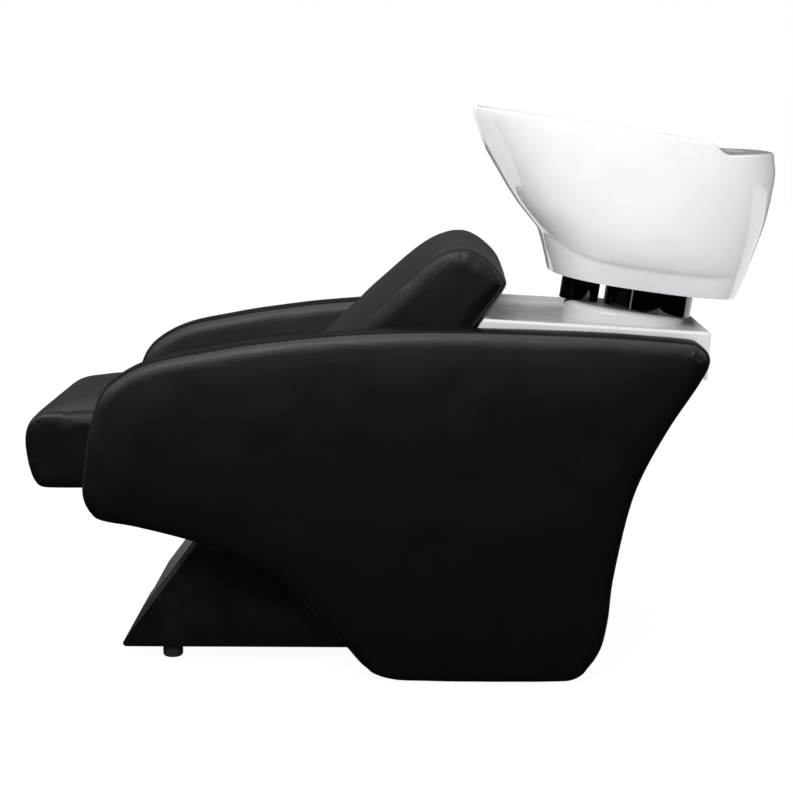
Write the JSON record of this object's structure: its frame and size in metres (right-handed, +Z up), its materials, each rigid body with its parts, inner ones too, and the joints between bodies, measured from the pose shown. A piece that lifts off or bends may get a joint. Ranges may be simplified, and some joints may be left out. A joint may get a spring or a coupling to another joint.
{
  "type": "salon hair washing unit",
  "caption": "Upholstered salon backwash armchair with a reclined seat and a tilting white ceramic neck basin on a deck behind the head.",
  "frame": {"origin": "on the floor, under the middle of the unit's bounding box", "axes": "+X from the sitter's feet towards the basin, +Y to the sitter's right, +Z up"},
  "size_m": [1.324, 0.64, 0.9859],
  "materials": {
    "upholstery": "satin, fine grain",
    "board": "raw ply",
    "plinth": "black satin paint",
    "frame_paint": "black powder coat",
    "steel": "zinc plated",
    "kick": "matt",
    "white_shell": "gloss",
    "chrome": "polished",
    "glaze": "gloss glaze",
    "rubber": "matt",
    "nylon": "matt",
    "panel_black": "fine texture"
  },
  "bodies": {
    "chair": {"back_board": "board", "back_cushion": "upholstery", "boss": "white_shell", "cross_ties": "frame_paint", "deck": "white_shell", "deck_support": "frame_paint", "floor_brackets": "frame_paint", "floor_pan": "frame_paint", "foot_nuts": "steel", "friction_washers": "nylon", "front_sleeve": "chrome", "kick_plate": "kick", "left_frame": "frame_paint", "left_gusset": "upholstery", "left_inner_pad": "upholstery", "left_outer_pad": "upholstery", "left_panel_core": "board", "panel_bolts": "steel", "panel_glides": "nylon", "pivot_bolts": "steel", "pivot_nuts": "steel", "plinth_front_board": "plinth", "plinth_left_board": "plinth", "plinth_right_board": "plinth", "rear_battens": "board", "rear_panel": "panel_black", "rear_screws": "steel", "rear_sleeve": "chrome", "right_frame": "frame_paint", "right_gusset": "upholstery", "right_inner_pad": "upholstery", "right_outer_pad": "upholstery", "right_panel_core": "board", "seat_board": "board", "seat_cushion": "upholstery", "side_brackets": "frame_paint", "stop_caps": "rubber", "stop_studs": "steel", "yoke": "frame_paint", "yoke_bolts": "steel"},
    "basin_head": {"basin": "glaze", "basin_gasket": "rubber", "carrier": "frame_paint", "carrier_bolts": "steel", "pivot_bushes": "nylon", "waste_flange": "chrome", "waste_seal": "rubber", "waste_nut": "nylon", "waste_tail": "nylon"},
    "strainer_cup": {"strainer": "chrome"},
    "left_foot": {"left_foot_pad": "rubber", "left_foot_stem": "steel"},
    "right_foot": {"right_foot_pad": "rubber", "right_foot_stem": "steel"}
  },
  "joints": [
    {"name": "basin_tilt", "type": "hinge", "parent": "chair", "child": "basin_head", "pos_m": [0.4444, 0, 0.642], "axis": [0, 1, 0], "range_deg": [-8, 8]},
    {"name": "strainer_lift", "type": "slide", "parent": "basin_head", "child": "strainer_cup", "axis": [0.1478, 0, 0.989], "range_m": [0, 0.03]},
    {"name": "left_foot_level", "type": "slide", "parent": "chair", "child": "left_foot", "axis": [0, 0, -1], "range_m": [0, 0.012]},
    {"name": "right_foot_level", "type": "slide", "parent": "chair", "child": "right_foot", "axis": [0, 0, -1], "range_m": [0, 0.012]}
  ]
}
